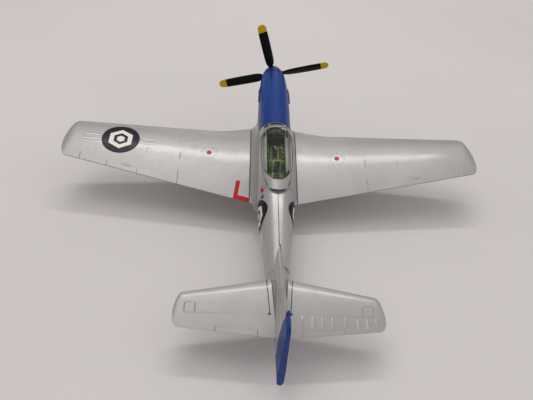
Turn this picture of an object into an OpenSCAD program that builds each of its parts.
// Tabletop model of a single-seat propeller fighter, standing on its wheels.
// Each piece is drawn level, with x to the right wing, y forward and z up from the thrust line.
// Stations run aft from the spinner tip, so a station is -y; names ending in _at are stations.
// place() then sets the model on the table with its tail down.

/* [Stance] */
// Nose-up angle of the model on its three wheels
ground_pitch = 12; // [11:0.5:13]
// Shift along the model that centres it over the origin
centre_shift = 67.76; // [66:0.01:69]

/* [Fuselage] */
// Wall thickness of the fuselage castings
shell_wall = 1.2; // [1:0.1:1.4]
// Gap left at the joints between castings
joint_gap = 0.04; // [0.03:0.01:0.06]
// Half width of the wing root fairing
fairing_half = 8.5; // [8.3:0.1:8.7]

/* [Wing] */
// Half span of the wing
wing_half_span = 77.9; // [76:0.1:80]
// Chord of the wing on the centreline
wing_root_chord = 38.2; // [38:0.1:38.5]
// Rise of the wing for each millimetre outboard
wing_dihedral = 0.0865; // [0.08:0.0005:0.092]
// Thickness of the wing as a part of its chord
wing_thickness = 0.145; // [0.14:0.005:0.15]

/* [Tail] */
// Half span of the tailplane
tail_half_span = 29.1; // [28:0.1:30]
// Height of the tailplane above the thrust line
tail_height = 5.1; // [4.9:0.1:5.3]

/* [Propeller] */
// Radius from the shaft to a blade tip
prop_radius = 24; // [22:0.5:25]
// Angle of the first blade from the right wing, seen from behind
prop_clock = 106.2; // [0:0.1:180]
// Blade setting near the tip, from the plane of the disc
blade_pitch = 10; // [8:1:14]
// Radius of the propeller shaft
shaft_r = 0.8; // [0.7:0.05:0.8]
// Radial running clearance of shafts and axles
run_gap = 0.05; // [0.04:0.01:0.08]

/* [Canopy] */
// Gap under the canopy rails
rail_gap = 0.12; // [0.1:0.01:0.15]
// Thickness of the clear mouldings
glass_wall = 0.5; // [0.4:0.05:0.6]

/* [Landing gear] */
// Distance of each main wheel from the centreline
track_half = 25; // [24.5:0.1:25.5]
// Radius of a main wheel over its tyre
main_wheel_r = 4.8; // [4.6:0.1:5]
// Radius of the tail wheel over its tyre
tail_wheel_r = 2.2; // [2.1:0.1:2.3]

/* [Stand] */
// Radius of the display stand socket in the belly
socket_r = 1.5; // [1.4:0.05:1.6]

/* [Hidden] */
$fn = 48;
small_fn = 24;      // facets of the smallest round parts

silver = "#B4B2B0";
blue = "#24448A";
rubber = "#232323";
hub_grey = "#B0B1B2";
pin_grey = "#C0C2C4";
leg_grey = "#A8A9AA";
exhaust_grey = "#4A4C44";
clear = [0.75, 0.85, 0.85, 0.4];

// ---------- stance ----------
axle_at = 34.7;
axle_z = -21.6;
tail_axle_at = 102.1;
lift = main_wheel_r + axle_at*sin(ground_pitch) - axle_z*cos(ground_pitch);
// height of the tail axle that puts the tail wheel on the table too
tail_axle_z = (tail_wheel_r - lift + tail_axle_at*sin(ground_pitch))/cos(ground_pitch);

module place() translate([0, centre_shift, lift]) rotate([ground_pitch, 0, 0]) children();
module at(x, station, z) translate([x, -station, z]) children();
// children's +z points aft from the station
module along(station) at(0, station, 0) rotate([90, 0, 0]) children();
// box centred across the model, with its rear lower edge at y, z
module box(width, length, height, y = 0, z = 0)
    translate([-width/2, y, z]) cube([width, length, height]);
function point(x, station, z) = [x, -station, z];

// ---------- arithmetic ----------
function mix(from, to, share) = from + (to-from)*share;
function ease(from, to, value) =
    let (share = max(0, min(1, (value-from)/(to-from))))
    share*share*(3-2*share);
function power(base, exponent) = pow(max(base, 0), exponent);
function reversed(list) = [for (i = [len(list)-1:-1:0]) list[i]];
// a list in order for the first face of a ring (1), backwards for the return (-1)
function facing(list, face) = face > 0 ? list : reversed(list);

// smooth curve through a table; column 0 holds the ascending positions
function interval(table, value, i = 0) =
    (i >= len(table)-2 || value < table[i+1][0]) ? i : interval(table, value, i+1);
function chord_slope(table, i, column) =
    (table[i+1][column]-table[i][column])/(table[i+1][0]-table[i][0]);
function slope(table, i, column) =
    i == 0 ? chord_slope(table, 0, column) :
    i == len(table)-1 ? chord_slope(table, i-1, column) :
    let (before = chord_slope(table, i-1, column), after = chord_slope(table, i, column))
    before*after <= 0 ? 0 : 2*before*after/(before+after);
function curve(table, value, column = 1) =
    let (i = interval(table, value),
        step = table[i+1][0]-table[i][0],
        u = max(0, min(1, (value-table[i][0])/step)),
        slope_in = slope(table, i, column)*step,
        slope_out = slope(table, i+1, column)*step)
    (2*u*u*u-3*u*u+1)*table[i][column] + (u*u*u-2*u*u+u)*slope_in
    + (3*u*u-2*u*u*u)*table[i+1][column] + (u*u*u-u*u)*slope_out;

// ---------- fuselage lines ----------
// columns of a section
HALF = 1;       // half width
TOP = 2;
BOTTOM = 3;
WIDEST = 4;     // height of greatest width
UPPER = 5;      // upper roundness
LOWER = 6;      // lower roundness
// station, then the columns above
LINES = [
    [8.8,   5.02, 4.95, -5.3, 0,    2.0, 2.0],
    [9.9,   5.18, 5.2,  -5.9, 0,    2.0, 2.1],
    [13.9,  5.56, 5.85, -7.0, -0.2, 2.1, 2.3],
    [18.3,  5.92, 6.35, -8.0, -0.4, 2.2, 2.4],
    [26.4,  6.15, 7.15, -9.1, -0.8, 2.3, 2.5],
    [33.6,  6.22, 7.65, -9.6, -1.1, 2.4, 2.5],
    [41.8,  6.18, 8.1,  -9.9, -1.1, 2.4, 2.4],
    [47.9,  6.16, 8.2,  -10,  -1.1, 2.6, 2.4],
    [60,    6.12, 8.15, -10,  -1.1, 3.0, 2.4],
    [73.6,  6.1,  8.05, -9.5, -1.0, 3.0, 2.3],
    [80.6,  6.02, 8.02, -8.8, -0.8, 2.7, 2.2],
    [86.8,  5.6,  7.9,  -7.8, -0.5, 2.5, 2.2],
    [97.2,  4.62, 7.5,  -5.8, 0.2,  2.4, 2.1],
    [104,   3.9,  7.1,  -4.5, 0.8,  2.4, 2.1],
    [107,   3.6,  6.9,  -3.9, 1.1,  2.4, 2.1],
    [111,   3.2,  6.7,  -3.1, 1.5,  2.5, 2.1],
    [118,   2.5,  6.4,  -1.7, 2.3,  2.6, 2.1],
    [125,   1.7,  6.15, -0.6, 2.8,  2.6, 2.1],
    [129.6, 1.0,  6.0,  -0.1, 3.0,  2.6, 2.1]];
body_end_at = LINES[len(LINES)-1][0];
// station, crown of the canopy bubble, its roundness
BUBBLE = [
    [45, 8.2, 2.4], [45.5, 8.45, 2.45], [47.5, 9.8, 2.55], [51.2, 11.9, 2.65], [56, 12.6, 2.7],
    [61.5, 12.5, 2.7], [67, 11.8, 2.65], [71.2, 10.9, 2.6], [75.3, 9.85, 2.55], [79, 9.1, 2.6]];

open_front_at = 45.5;
open_rear_at = 76.2;
near = 0.01;    // tolerance when stations are compared
function within(station, front, rear) = station > front-near && station < rear+near;
function in_opening(station) = within(station, open_front_at, open_rear_at);
// height of the cockpit sill
function sill(station) = 6.25 + (station-46.2)*0.0667;

function section_of(station, bubble) = [for (column = [0:6])
    column == 0 ? station :
    bubble && column == TOP ? curve(BUBBLE, station, 1) :
    bubble && column == UPPER ? curve(BUBBLE, station, 2) :
    curve(LINES, station, column)];
function section(station) = section_of(station, in_opening(station));
// [x, z] of a section at an angle from the crown, drawn in by inset
function section_point(sec, angle, inset = 0) =
    let (up = angle <= 90,
        height = (up ? sec[TOP]-sec[WIDEST] : sec[WIDEST]-sec[BOTTOM]) - inset,
        round = up ? sec[UPPER] : sec[LOWER])
    [(sec[HALF]-inset)*power(sin(angle), 2/round),
        sec[WIDEST] + (up ? 1 : -1)*height*power(abs(cos(angle)), 2/round)];
// angle from the crown at which the upper section reaches height z
function angle_at(sec, z, inset = 0, limit = 1) =
    acos(min(limit, power((z-sec[WIDEST])/(sec[TOP]-sec[WIDEST]-inset), sec[UPPER]/2)));
// height of the body's underside at half width x
function underside(station, x) =
    let (sec = section(station))
    sec[WIDEST] - (sec[WIDEST]-sec[BOTTOM])
        * power(1 - power(x/sec[HALF], sec[LOWER]), 1/sec[LOWER]);

// ---------- wing lines ----------
wing_z = -9.25;
wing_edge = 0.14;   // thickness added evenly towards the trailing edge, above and below
// distance outboard, how far the leading edge is carried forward
ROOT_LEAD = [[0, 3.6], [8.5, 2.7], [15, 1.15], [21.7, 0.1], [24, 0]];
// straight edges, rounded off at the tip
function wing_lead(x) = 33.9 + 0.0544*x - (x < 24 ? curve(ROOT_LEAD, x) : 0)
    + 8.6*power((x-(wing_half_span-4.6))/4.6, 3.2);
function wing_trail(x) = 33.9 + wing_root_chord - 0.2083*x
    - 4.2*power((x-(wing_half_span-2.6))/2.6, 3);
function wing_plane(x) = wing_z + wing_dihedral*x;
function wing_thick(x) = (wing_thickness - 0.02*x/wing_half_span)
    * sqrt(max(0.02, 1 - power((x-(wing_half_span-4))/4, 2.4)));
// half thickness of an aerofoil at part c of its chord
function aerofoil(c, thick) =
    5*thick*(0.2969*sqrt(c) - 0.126*c - 0.3516*c*c + 0.2843*c*c*c - 0.1036*pow(c, 4));
// height of the wing's upper (face 1) or lower (face -1) surface
function wing_surface(x, station, face) =
    let (lead = wing_lead(x), chord = wing_trail(x)-lead, c = (station-lead)/chord)
    wing_plane(x) + face*(wing_edge*c
        + chord*aerofoil(max(0, min(1, c)), wing_thick(x))*(face > 0 ? 1.1 : 0.9));

// ---------- solids from rings and grids ----------
function turned(faces, turn) = turn ? [for (face = faces) reversed(face)] : faces;
// triangles that close a ring of count points, strip by strip
function cap(first, count) = [for (j = [0:ceil(count/2)-2])
    let (a = first+j, b = a+1, c = first+count-1-j, d = c-1)
    each concat([[a, c, d]], b == d ? [] : [[a, d, b]])];
// closed solid through a list of rings
module loft(rings, flip = false) {
    rows = len(rings);
    count = len(rings[0]);
    sides = [for (i = [0:rows-2]) for (j = [0:count-1])
        let (a = i*count+j, b = i*count+(j+1)%count, c = a+count, d = b+count)
        each [[a, b, d], [a, d, c]]];
    caps = concat(cap(0, count), turned(cap((rows-1)*count, count), true));
    polyhedron([for (ring = rings) each ring], turned(concat(sides, caps), flip), convexity = 6);
}
// shell between an outer and an inner grid; keep(i, j) says which cells exist
module shell(outer, inner, keep, flip = false) {
    rows = len(outer);
    cols = len(outer[0]);
    has = function (i, j) i >= 0 && j >= 0 && i < rows-1 && j < cols-1 && keep(i, j);
    used = [for (i = [0:rows-1]) for (j = [0:cols-1])
        has(i-1, j-1) || has(i-1, j) || has(i, j-1) || has(i, j)];
    // index of each grid point once the unused ones are left out
    index = [for (k = 0, n = 0; k < rows*cols; n = n + (used[k] ? 1 : 0), k = k+1) n];
    picked = function (grid)
        [for (i = [0:rows-1]) for (j = [0:cols-1]) if (used[i*cols+j]) grid[i][j]];
    outer_points = picked(outer);
    a = function (i, j) index[i*cols+j];                // outer point
    b = function (i, j) len(outer_points) + a(i, j);    // inner point
    faces = [for (i = [0:rows-2]) for (j = [0:cols-2]) if (has(i, j)) each concat(
        [[a(i,j), a(i,j+1), a(i+1,j+1)], [a(i,j), a(i+1,j+1), a(i+1,j)],
         [b(i,j), b(i+1,j+1), b(i,j+1)], [b(i,j), b(i+1,j), b(i+1,j+1)]],
        has(i-1, j) ? [] : [[a(i,j), b(i,j+1), a(i,j+1)], [a(i,j), b(i,j), b(i,j+1)]],
        has(i+1, j) ? [] :
            [[a(i+1,j), a(i+1,j+1), b(i+1,j+1)], [a(i+1,j), b(i+1,j+1), b(i+1,j)]],
        has(i, j-1) ? [] : [[a(i,j), a(i+1,j), b(i+1,j)], [a(i,j), b(i+1,j), b(i,j)]],
        has(i, j+1) ? [] :
            [[a(i,j+1), b(i+1,j+1), a(i+1,j+1)], [a(i,j+1), b(i,j+1), b(i+1,j+1)]])];
    polyhedron(concat(outer_points, picked(inner)), turned(faces, flip), convexity = 8);
}

// ---------- fuselage halves ----------
// columns of the grid, counted from the crown
sill_col = 5;
widest_col = 9;
foot_col = 14;      // foot of the wing fairing
keel_col = 18;
wing_front_at = 30;
wing_rear_at = 72.6;
BODY_STATIONS = [8.8, 9.4, 10.4, 12.4, 15, 18.3, 22, 26.4, wing_front_at, 30.6, 31.2, 32.2, 33.6,
    35.4, 37.6, 41.5, 45, open_front_at, 46.6, 48.5, 51.2, 55, 59, 63, 67, 70, wing_rear_at, 74.6,
    open_rear_at, 76.7, 79, 81.5, 84.5, 88, 92.4, 97.2, 102, 107.5];
// how fully the fairing is formed, and the place of its foot
function fairing(station) =
    ease(wing_front_at, 31.6, station)*(1-ease(wing_rear_at, 77, station));
function foot_x(station) =
    station < 66 ? fairing_half : mix(fairing_half, 6.3, ease(66, 77, station));
function foot_z(station) = station < 68 ? wing_surface(fairing_half, station, 1) + 0.16 :
    mix(wing_surface(fairing_half, 68, 1) + 0.16, wing_z + 0.35,
        ease(70.3, wing_rear_at, station));
function column_angle(j, sill_angle) =
    j <= sill_col ? sill_angle*j/sill_col :
    j <= widest_col ? mix(sill_angle, 90, (j-sill_col)/(widest_col-sill_col)) :
    j <= foot_col ? mix(90, 140, (j-widest_col)/(foot_col-widest_col)) :
    mix(140, 180, (j-foot_col)/(keel_col-foot_col));
// [x, z] points of one half section, crown to keel
function rib(station, inset) =
    let (sec = section(station),
        open = in_opening(station),
        sill_angle = open ? angle_at(sec, sill(station)) : 52)
    [for (j = [0:keel_col])
        let (plain = section_point(sec, column_angle(j, sill_angle), inset),
            down = (j-widest_col)/(foot_col-widest_col),
            faired_x = mix(sec[HALF], foot_x(station), pow(down, 3)) - inset,
            faired_z = mix(sec[WIDEST], foot_z(station), down),
            share = (j > widest_col && j <= foot_col) ? fairing(station) : 0,
            // the rear of the opening is cut off level with the sill
            ceiling = j < sill_col && station > 60 && open ? sill(station)-inset : 99)
        [max(0, mix(plain[0], faired_x, share)) + joint_gap/2,
            min(ceiling, mix(plain[1], faired_z, share))]];
function row_between(i, front, rear) =
    BODY_STATIONS[i] >= front-near && BODY_STATIONS[i+1] <= rear+near;
// leaves out the cockpit opening and the seat of the wing
body_cell = function (i, j)
    !(j < sill_col && row_between(i, open_front_at, open_rear_at))
    && !(j >= foot_col && row_between(i, wing_front_at, wing_rear_at));
// the casting is thicker at the nose ring
function wall_at(station) = station < 11 ? shell_wall+0.3 : shell_wall;
function side_rib(side, station, inset) =
    [for (p = rib(station, inset)) point(side*p[0], station, p[1])];
module fuselage_half(side) shell(
    [for (station = BODY_STATIONS) side_rib(side, station, 0)],
    [for (station = BODY_STATIONS) side_rib(side, station, wall_at(station))],
    body_cell, side < 0);
module fuselage_left() color(silver) place() fuselage_half(-1);
module fuselage_right() color(silver) place() fuselage_half(1);

// ---------- tail ----------
CONE_STATIONS = [107.6, 109.2, 112, 115, 118, 121, 124, 127, body_end_at];
function cone_ring(station) =
    let (sec = section(station))
    [for (angle = [10:20:350])
        let (p = section_point(sec, angle < 180 ? angle : 360-angle))
        point(angle < 180 ? p[0] : -p[0], station, p[1])];
module tail_cone() color(silver) place()
    loft([for (station = CONE_STATIONS) cone_ring(station)]);

// part of the fin's height, station of its leading edge
FIN_LEAD = [[0, 100.2], [0.088, 105.2], [0.181, 109.7], [0.278, 113.9], [0.395, 117],
    [0.588, 120.7], [0.81, 124.6], [0.956, 126.9], [1, 128.6]];
FIN_LEVELS = [0, 0.06, 0.14, 0.25, 0.4, 0.6, 0.8, 0.93, 0.985, 1];
// chord positions ahead of the step, where 0.6 stands just ahead of it
FIN_CHORD = [0, 0.012, 0.04, 0.1, 0.2, 0.32, 0.45, 0.58];
fin_top = 24.3;
fin_step_at = 130;      // the fin's foot steps down here, behind the body
function fin_base(station) = station < fin_step_at ?
    section(min(station, body_end_at))[TOP] + 0.05 : -0.4;
function fin_trail(level) = 137.6 - 4*level - 0.8*power((level-0.9)/0.1, 2);
function fin_half(level) =
    mix(1.4, 0.68, level)*(level > 0.99 ? 0.45 : level > 0.97 ? 0.75 : 1);
function fin_ring(level) =
    let (lead = curve(FIN_LEAD, level),
        trail = fin_trail(level),
        rear = fin_step_at + 0.21,
        stations = concat([for (c = FIN_CHORD) mix(lead, fin_step_at - 0.3, c/0.6)],
            [fin_step_at - 0.21, rear, mix(rear, trail, 0.35), mix(rear, trail, 0.7), trail]))
    [for (face = [1, -1]) for (station = facing(stations, face))
        let (c = (station-lead)/(trail-lead),
            nose = min(1, 1.15*sqrt(min(1, (station-lead)/9))),
            taper = mix(1, 0.66, ease(0.6, 1, c)),
            half = fin_half(level)*nose*taper + (station == lead ? 0.1 : 0.05))
        point(face*half, station, mix(fin_base(station), fin_top, level))];
module tail_fin() color(silver) place() loft([for (level = FIN_LEVELS) fin_ring(level)], true);

TAIL_CHORD = [0, 0.015, 0.06, 0.15, 0.3, 0.5, 0.7, 0.85, 1];
TAIL_SPAN = [0, 2, 5, 10, 16, 22, tail_half_span-2.4, tail_half_span-1.4, tail_half_span-0.7,
    tail_half_span-0.2, tail_half_span];
// half width of the tail cone at the height of the tailplane
function cone_half(station) =
    let (sec = section(station), rise = (tail_height-sec[WIDEST])/(sec[TOP]-sec[WIDEST]))
    sec[HALF]*power(1 - power(rise, sec[UPPER]), 1/sec[UPPER]);
function tail_lead(x) = 109.2 + 0.197*x + 5*power((x-(tail_half_span-2.4))/2.4, 3);
function tail_trail(x) = 127.5 - 0.1*x - 2.2*power((x-(tail_half_span-2))/2, 3);
function tail_thick(x) = 0.11*sqrt(max(0.03, 1 - power((x-(tail_half_span-2.4))/2.4, 2.4)));
function stabilizer_ring(side, x) =
    let (lead = tail_lead(x), chord = tail_trail(x)-lead)
    [for (face = [1, -1]) for (c = facing(TAIL_CHORD, face))
        // the inner rings are pushed outboard so that the root follows the tail cone
        let (station = lead + c*chord,
            root = cone_half(min(station, body_end_at)) + 0.35)
        point(side*max(x, root + x*0.3), station,
            tail_height + face*(chord*aerofoil(c, tail_thick(x)) + 0.1))];
module stabilizer(side) loft([for (x = TAIL_SPAN) stabilizer_ring(side, x)], side < 0);
module stabilizer_left() color(silver) place() stabilizer(-1);
module stabilizer_right() color(silver) place() stabilizer(1);

// ---------- wing ----------
WING_CHORD = [0, 0.008, 0.03, 0.07, 0.14, 0.24, 0.36, 0.5, 0.65, 0.82, 1];
WING_SPAN = [0, 8.6, 15, 21.7, 32, 44, 56, 68, wing_half_span-4.6, wing_half_span-3,
    wing_half_span-1.8, wing_half_span-0.9, wing_half_span-0.3, wing_half_span];
SCREW_STATIONS = [49, 58.6];
screw_r = 0.55;
screw_seat_z = -11;     // underside of the wing metal that the screw heads bear on
socket_at = 53.8;
socket_roof_z = -7.6;
strut_r = 0.85;         // upper part of a main gear leg
function wing_ring(x) =
    let (out = abs(x), lead = wing_lead(out), chord = wing_trail(out)-lead)
    [for (face = [1, -1]) for (c = facing(WING_CHORD, face))
        let (station = lead + c*chord)
        point(x, station, wing_surface(out, station, face) + face*0.02)];
module wing() color(silver) place() difference() {
    loft(concat([for (x = reversed(WING_SPAN)) if (x > 0) wing_ring(-x)],
        [for (x = WING_SPAN) wing_ring(x)]));
    for (station = SCREW_STATIONS) at(0, station, 0) {
        translate([0, 0, -14]) cylinder(h = 16, r = 0.72);
        translate([0, 0, -14]) cylinder(h = 14 + screw_seat_z, r = 1.45);
    }
    at(0, socket_at, -16) cylinder(h = 16 + socket_roof_z, r = socket_r);
    for (side = [-1, 1])
        leg_frame(side) translate([0, 0, leg_length-1]) cylinder(h = 2.1, r = strut_r + 0.03);
}

// radiator fairing under the belly: station, half width, bottom
SCOOP = [[60.4, 3.5, -12.9], [61.2, 3.75, -13.3], [64, 4.0, -13.8], [69, 4.0, -13.9],
    [75, 3.9, -13.3], [81, 3.6, -12.0], [87, 3.0, -10.1], [91, 2.5, -8.6], [94.4, 2.0, -7.1]];
SCOOP_STATIONS = [61.2, 64, 67.5, 71.5, 72.7, 76, 81, 86, 90, 94.4];
scoop_front_at = SCOOP[0][0];
// rings of the mouth, deepest first: inset, distance aft of the lip
SCOOP_MOUTH = [[0.75, 4.5], [0.7, 0.25], [0.35, 0], [0, 0]];
scoop_gap = 0.14;
// the roof follows the wing, then the body behind it
function scoop_roof(station, x) =
    station < 72 ? wing_surface(abs(x), station, -1) - scoop_gap :
    underside(station, abs(x)) - scoop_gap - 0.05*x*x*(1-ease(75, 77.5, station));
function scoop_ring(station, inset = 0, back = 0) =
    let (half = curve(SCOOP, station, 1)-inset,
        bottom = curve(SCOOP, station, 2)+inset*0.8,
        roof_steps = 7,
        bowl_steps = 10,
        rim = scoop_roof(station, half) - inset)
    concat(
        [for (i = [0:roof_steps])
            let (x = -half + 2*half*i/roof_steps)
            point(x, station+back, scoop_roof(station, x) - inset)],
        [for (i = [1:bowl_steps-1])
            let (angle = 180*i/bowl_steps)
            point(half*power(abs(cos(angle)), 0.7)*(angle < 90 ? 1 : -1), station+back,
                rim - (rim-bottom)*power(sin(angle), 0.7))]);
module belly_scoop() color(silver) place()
    loft(concat([for (mouth = SCOOP_MOUTH) scoop_ring(scoop_front_at, mouth[0], mouth[1])],
        [for (station = SCOOP_STATIONS) scoop_ring(station)]));

// ---------- nose and propeller ----------
module nose_bearing() color("#8A8C8E") place() along(9.0) difference() {
    union() {
        cylinder(h = 3, r = 3.3);
        translate([0, 0, 1]) cylinder(h = 3.6, r = 2);
    }
    translate([0, 0, -1]) cylinder(h = 8, r = shaft_r + run_gap);
}
module prop_shaft() color("#9EA1A4") place() along(2.6) cylinder(h = 14, r = shaft_r);
module shaft_collar() color("#B9A05A") place() along(13.8) difference() {
    cylinder(h = 1.5, r = 1.7);
    translate([0, 0, -1]) cylinder(h = 4, r = shaft_r);
}

blade_at = 5.0;
spinner_end_at = 8.25;
spinner_core_at = 1.2;      // front of the hollow
spinner_wall = 0.75;
function spinner_r(station) = 5.0*power(1 - power(1 - min(1, station/9.4), 1.75), 0.62);
// turns children for each of the four blades
module each_blade(tilt = 0) for (k = [0:3]) rotate([0, tilt, prop_clock + 90*k]) children();
module spinner() color(blue) place() along(0) difference() {
    rotate_extrude() polygon(concat(
        [for (i = [0:24])
            let (station = spinner_end_at*pow(i/24, 1.6))
            [spinner_r(station), station]],
        [for (i = [16:-1:0])
            let (station = spinner_core_at
                + (spinner_end_at-spinner_core_at)*pow(i/16, 1.4))
            [i == 0 ? 0 : max(0, spinner_r(station)-spinner_wall), station]]));
    translate([0, 0, blade_at]) each_blade(90) cylinder(h = 8, r = 1.2);
}
module spinner_backplate() color(blue) place() along(8.3) difference() {
    cylinder(h = 0.4, r = spinner_r(8.5));
    translate([0, 0, -1]) cylinder(h = 3, r = shaft_r);
}

blade_table_r = 24;     // tip radius that BLADE is drawn for
// radius, chord, thickness, setting above the tip setting
BLADE = [[3.6, 1.3, 1.1, 14], [4.3, 1.6, 0.95, 13], [5.3, 2.95, 0.8, 11], [7.5, 3.65, 0.72, 8],
    [11, 3.8, 0.64, 5], [15, 3.8, 0.56, 3], [19, 3.7, 0.48, 1], [22, 3.5, 0.4, 0],
    [23.2, 2.85, 0.33, -1], [23.8, 1.85, 0.28, -1], [24, 0.8, 0.22, -1]];
function blade_ring(cut) =
    let (setting = blade_pitch + cut[3])
    [for (angle = [15:30:345])
        let (across = cut[1]/2*cos(angle), through = cut[2]/2*sin(angle))
        [cut[0]*prop_radius/blade_table_r,
            across*cos(setting) - through*sin(setting),
            across*sin(setting) + through*cos(setting)]];
module propeller_blades() color("#151515") place() along(blade_at) difference() {
    union() {
        translate([0, 0, -1.7]) cylinder(h = 3.4, r = 2.4);
        each_blade(90) translate([0, 0, 1.6]) cylinder(h = 3.1, r = 0.95);
        each_blade() loft([for (cut = BLADE) blade_ring(cut)], true);
    }
    translate([0, 0, -4]) cylinder(h = 8, r = shaft_r);
}

// ---------- exhausts ----------
// six stubs, turned outward, on a plate
exhaust_plate = 0.3;
stub_pitch = 1.32;
module exhaust(side) at(side*5.83, 17.4, 1.7) rotate([0, 0, side*1.64]) {
    translate([side > 0 ? 0 : -exhaust_plate, -8.4, -0.45]) cube([exhaust_plate, 8.6, 0.9]);
    for (i = [0:5])
        translate([side*exhaust_plate, -0.9 - stub_pitch*i, 0])
            rotate([90, 0, 0]) rotate([0, side*9, 0])
                translate([0, 0, -0.15]) cylinder(h = 1.2, r = 0.27, $fn = small_fn);
}
module exhaust_left() color(exhaust_grey) place() exhaust(-1);
module exhaust_right() color(exhaust_grey) place() exhaust(1);

// ---------- cockpit ----------
deck_z = -0.57;     // foot of the fittings, just clear of the tub floor
module cockpit_tub() color("#5C7040") place() {
    difference() {
        box(7.7, 27, 6.6, y = -74, z = -1.2);
        box(6.6, 25.8, 8, y = -73.4, z = -0.6);
        // lower walls at the rear
        box(10, 15.6, 6, y = -83, z = 3.4);
    }
    // screw posts under the floor
    for (station = SCREW_STATIONS) at(0, station, -4.6) difference() {
        cylinder(h = 3.5, r = 1.5);
        translate([0, 0, -1]) cylinder(h = 3.4, r = screw_r);
    }
}
module pilot_seat() color("#5A6B43") place() at(0, 63.2, deck_z) difference() {
    union() {
        box(4.2, 4.4, 2.2);
        box(4.2, 1.1, 7.2, y = -0.9);
    }
    box(3.2, 6, 3, y = 0.3, z = 1);
    box(3.2, 4, 6, y = -0.5, z = 2.6);
}
module head_armor() color("#3D4A30") place() {
    box(3.4, 0.7, 9.0, y = -65.4, z = deck_z);
    box(2, 0.7, 1.4, y = -64.65, z = 6.8);
}
module radio_deck() color("#2E3430") place() {
    deck_height = 3.4;
    box(5.4, 6.2, deck_height, y = -72.4, z = deck_z);
    box(3.4, 4.6, 1.6, y = -71.6, z = deck_z + 0.04 + deck_height);
}
module instrument_panel() color("#1E2124") place() at(0, 49.3, 0.6) {
    panel_height = 5.4;
    box(6.4, 0.7, panel_height);
    box(4.8, 0.7, 0.7, z = panel_height);
}
module control_stick() color("#17191A") place() at(0, 55.5, deck_z) {
    cylinder(h = 0.6, r = 0.75);
    cylinder(h = 4.3, r = 0.24);
    translate([0, 0, 4.1]) cylinder(h = 1.1, r = 0.42);
}
module gunsight() color("#202326") place() at(0, 49.2, 6.75) {
    box(1.4, 1.5, 0.7, y = -0.9);
    translate([0, -0.15, 0.6]) cylinder(h = 0.6, r = 0.5, $fn = small_fn);
}

// ---------- glazing ----------
WINDSHIELD_STATIONS = [46.3, 47.5, 48.7, 49.9, 50.9];
CANOPY_STATIONS = [51.3, 52.6, 55, 58, 61, 64, 67, 69.5, 71.5, 73.2, 74.6, 76, 77.4, 78.8];
windshield_steps = 16;
canopy_steps = 20;
windshield_gap = 0.1;
frame_wall = 0.27;
glass_inset = 0.3;      // outer face of the glass below the bubble surface
every_cell = function (i, j) true;
// arch of the bubble, left sill to right sill; gap is the clearance above the sill
function arch(station, inset, steps, gap) =
    let (sec = section_of(station, true),
        end_angle = angle_at(sec, sill(station) + gap, inset, 0.9999))
    [for (i = [0:steps])
        let (angle = mix(-end_angle, end_angle, i/steps),
            p = section_point(sec, abs(angle), inset),
            // towards the rear end the sides are swept forward
            sweep = 0.11*p[0]*p[0]*ease(72, 78.8, station))
        point(angle < 0 ? -p[0] : p[0], station - sweep, p[1])];
module glazing(stations, outer, inner, steps, gap, keep) shell(
    [for (station = stations) arch(station, outer, steps, gap)],
    [for (station = stations) arch(station, inner, steps, gap)], keep, true);
module windshield_glass() color(clear) place()
    glazing(WINDSHIELD_STATIONS, glass_inset, glass_inset+glass_wall, windshield_steps,
        windshield_gap, every_cell);
module windshield_frame() color(silver) place()
    glazing(WINDSHIELD_STATIONS, 0, frame_wall, windshield_steps, windshield_gap,
        function (i, j) j < 2 || j > 13 || i == 0 || i == 3 || j == 5 || j == 10);
// the glass stops short of the rear of the skirt
module canopy_glass() color(clear) place()
    glazing([for (i = [0:10]) CANOPY_STATIONS[i]], glass_inset, glass_inset+glass_wall,
        canopy_steps, rail_gap, every_cell);
module canopy_skirt() color(silver) place()
    glazing(CANOPY_STATIONS, 0, frame_wall, canopy_steps, rail_gap,
        function (i, j) j < 2 || j > 17 || i == 0 || i > 8);

// ---------- wing fittings ----------
GUN_X = [29.2, 31.2, 33.2];
module gun_muzzles() color("#33363A") place() for (side = [-1, 1]) for (x = GUN_X)
    at(side*x, wing_lead(x)-0.03, wing_plane(x)-0.25) rotate([-90, 0, 0]) difference() {
        cylinder(h = 0.55, r = 0.3, $fn = small_fn);
        translate([0, 0, 0.2]) cylinder(h = 2, r = 0.17, $fn = small_fn);
    }
pitot_x = 52;
pitot_at = 46;
pitot_z = wing_surface(pitot_x, pitot_at, -1) - 2.2;
module pitot_tube() color("#8F9294") place() translate([pitot_x, 0, 0]) {
    at(0, pitot_at, pitot_z) cylinder(h = 2.12, r = 0.22, $fn = small_fn);
    at(0, pitot_at+0.4, pitot_z) rotate([-90, 0, 0]) cylinder(h = 3.6, r = 0.24, $fn = small_fn);
}

// ---------- main gear ----------
leg_x = track_half + 2.7;
leg_top_at = 37.6;
leg_top_z = wing_surface(leg_x, leg_top_at, -1);
leg_aft = leg_top_at - axle_at;
leg_rise = leg_top_z - axle_z;
leg_length = sqrt(pow(leg_aft, 2) + pow(leg_rise, 2));
leg_lean = atan2(leg_aft, leg_rise);
pin_r = 0.45;
main_rim_r = 2.6;
// origin on the axle, z up the leg
module leg_frame(side) at(side*leg_x, axle_at, axle_z) rotate([leg_lean, 0, 0]) children();
module gear_leg(side) leg_frame(side) difference() {
    strut_foot = leg_length*0.42;
    union() {
        translate([0, 0, -0.9]) cylinder(h = leg_length*0.5, r = 0.6);
        translate([0, 0, strut_foot]) cylinder(h = leg_length*0.58 + 1.0, r = strut_r);
        translate([0, 0, strut_foot]) cylinder(h = 0.5, r = 1.05);
        rotate([0, 90, 0]) translate([0, 0, -0.95]) cylinder(h = 1.9, r = 0.95);
    }
    rotate([0, 90, 0]) translate([0, 0, -3]) cylinder(h = 6, r = pin_r + 0.01);
}
module gear_leg_left() color(leg_grey) place() gear_leg(-1);
module gear_leg_right() color(leg_grey) place() gear_leg(1);

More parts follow.
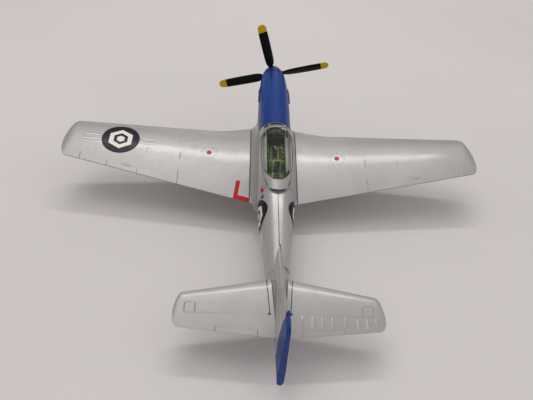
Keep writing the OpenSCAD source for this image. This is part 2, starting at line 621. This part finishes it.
door_wall = 0.45;
door_gap = 1.15;        // from the leg's centreline to the door
// distance forward, distance up the leg
DOOR = [[-2.5, leg_length-0.55], [2.4, leg_length-0.95], [2.3, 6], [1.7, 2.2], [0.6, 1.2],
    [-1.2, 1.2], [-2.2, 2.6], [-2.6, 6]];
module gear_door(side) leg_frame(side)
    translate([side > 0 ? door_gap : -door_gap-door_wall, 0, 0]) rotate([90, 0, 90])
        linear_extrude(height = door_wall) polygon(DOOR);
module gear_door_left() color(silver) place() gear_door(-1);
module gear_door_right() color(silver) place() gear_door(1);

// the pin runs outboard from its head
module axle_pin(side) at(side*(track_half-1.9), axle_at, axle_z) rotate([0, side*90, 0]) {
    cylinder(h = 5.4, r = pin_r);
    translate([0, 0, -0.35]) cylinder(h = 0.35, r = 0.75);
}
module axle_pin_left() color(pin_grey) place() axle_pin(-1);
module axle_pin_right() color(pin_grey) place() axle_pin(1);

module tyre(radius, width, rim) rotate([0, 90, 0]) rotate_extrude() difference() {
    tread_r = width*0.46;
    union() {
        translate([radius - tread_r, 0]) circle(r = tread_r);
        translate([rim, -width*0.42]) square([radius - tread_r - rim, width*0.84]);
    }
    translate([-1, -width]) square([rim+1, 2*width]);
}
// disc with a ring groove in each face
module hub(radius, width, bore) rotate([0, 90, 0]) difference() {
    translate([0, 0, -width/2]) cylinder(h = width, r = radius);
    translate([0, 0, -width]) cylinder(h = 2*width, r = bore);
    for (face = [-1, 1]) translate([0, 0, face*width/2])
        rotate_extrude() translate([radius*0.66, 0]) circle(r = radius*0.2);
}
module main_tyre(side) at(side*track_half, axle_at, axle_z) tyre(main_wheel_r, 3.1, main_rim_r);
module main_hub(side) at(side*track_half, axle_at, axle_z) hub(main_rim_r, 2.7, pin_r + run_gap);
module tyre_left() color(rubber) place() main_tyre(-1);
module tyre_right() color(rubber) place() main_tyre(1);
module hub_left() color(hub_grey) place() main_hub(-1);
module hub_right() color(hub_grey) place() main_hub(1);

// ---------- tail gear ----------
tail_pin_r = 0.35;
tail_rim_r = 1.2;
fork_bar = 0.7;         // height of the bar across the fork
fork_half = 1.6;        // half width over the fork
module tailwheel_fork() color("#9A9C9E") place() difference() {
    union() {
        at(0, tail_axle_at, tail_axle_z) {
            for (side = [-1, 1]) translate([side*1.35 - 0.25, -0.7, -0.7]) cube([0.5, 1.4, 4.1]);
            box(2*fork_half, 1.4, fork_bar, y = -0.7, z = 2.7);
        }
        at(0, tail_axle_at, tail_axle_z+3.1) rotate([-35, 0, 0]) cylinder(h = 1.85, r = 0.6);
    }
    at(-4, tail_axle_at, tail_axle_z) rotate([0, 90, 0]) cylinder(h = 8, r = tail_pin_r + 0.01);
}
module tailwheel_axle() color(pin_grey) place() at(-fork_half, tail_axle_at, tail_axle_z)
    rotate([0, 90, 0]) cylinder(h = 2*fork_half, r = tail_pin_r);
module tailwheel_tyre() color(rubber) place()
    at(0, tail_axle_at, tail_axle_z) tyre(tail_wheel_r, 1.7, tail_rim_r);
module tailwheel_hub() color(hub_grey) place()
    at(0, tail_axle_at, tail_axle_z) hub(tail_rim_r, 1.5, tail_pin_r + run_gap);
module tailwheel_doors() color(silver) place() for (side = [-1, 1])
    at(side*2.0, 100.6, -5.35) rotate([0, -side*12, 0]) box(0.3, 6, 2.3, y = -3, z = -2.3);

// ---------- fasteners ----------
module assembly_screws() color("#77797B") place()
    for (station = SCREW_STATIONS) at(0, station, screw_seat_z) difference() {
        union() {
            translate([0, 0, -1.2]) cylinder(h = 1.2, r = 1.35);
            translate([0, 0, -0.2]) cylinder(h = 7.8, r = screw_r);
        }
        // cross slot
        box(1.6, 0.3, 0.8, y = -0.15, z = -1.6);
        box(0.3, 1.6, 0.8, y = -0.8, z = -1.6);
    }

fuselage_left();
fuselage_right();
tail_cone();
tail_fin();
stabilizer_left();
stabilizer_right();
wing();
belly_scoop();
nose_bearing();
prop_shaft();
shaft_collar();
spinner();
spinner_backplate();
propeller_blades();
exhaust_left();
exhaust_right();
cockpit_tub();
pilot_seat();
head_armor();
radio_deck();
instrument_panel();
control_stick();
gunsight();
windshield_glass();
windshield_frame();
canopy_glass();
canopy_skirt();
gun_muzzles();
pitot_tube();
gear_leg_left();
gear_leg_right();
gear_door_left();
gear_door_right();
axle_pin_left();
axle_pin_right();
tyre_left();
tyre_right();
hub_left();
hub_right();
tailwheel_fork();
tailwheel_axle();
tailwheel_tyre();
tailwheel_hub();
tailwheel_doors();
assembly_screws();
